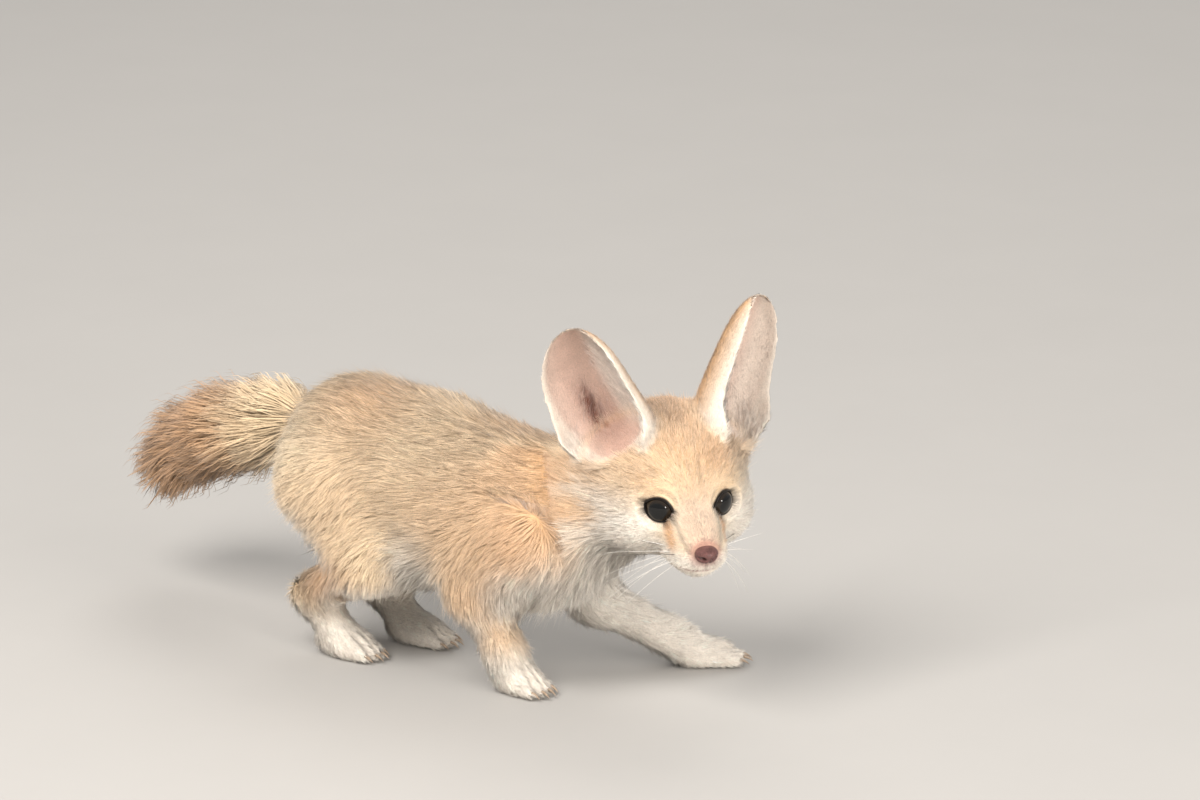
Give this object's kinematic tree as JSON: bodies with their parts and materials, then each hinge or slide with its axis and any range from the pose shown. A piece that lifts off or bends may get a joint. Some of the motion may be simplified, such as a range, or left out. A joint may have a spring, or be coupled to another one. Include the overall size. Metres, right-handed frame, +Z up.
{
  "type": "fennec fox kit figure",
  "caption": "Life-size still model of a young fennec fox with very large cupped ears, in a low digging stance with one forepaw reaching out, its head turned aside and its brush held out behind.",
  "frame": {"origin": "on the ground under the middle of the part's bounding box", "axes": "+X from the tail to the chest along the trunk, +Y to the animal's left, +Z up"},
  "size_m": [0.2972, 0.1038, 0.157],
  "materials": {
    "coat": "matt short fur",
    "face_coat": "matt very short fur",
    "pale_coat": "matt short fur",
    "tail_coat": "matt long fur in locks",
    "ear": "thin skin with fine down",
    "eye": "wet gloss",
    "nose": "moist bare skin"
  },
  "bodies": {
    "root": {"torso": "coat", "neck": "coat", "head": "face_coat", "foreleg_right": "coat", "foreleg_left": "pale_coat", "hindleg_right": "coat", "hindleg_left": "pale_coat", "forepaw_right": "pale_coat", "forepaw_left": "pale_coat", "hindpaw_right": "pale_coat", "hindpaw_left": "pale_coat", "tail": "tail_coat", "ear_left": "ear", "ear_right": "ear", "eye_left": "eye", "eye_right": "eye", "nose": "nose"}
  },
  "joints": []
}
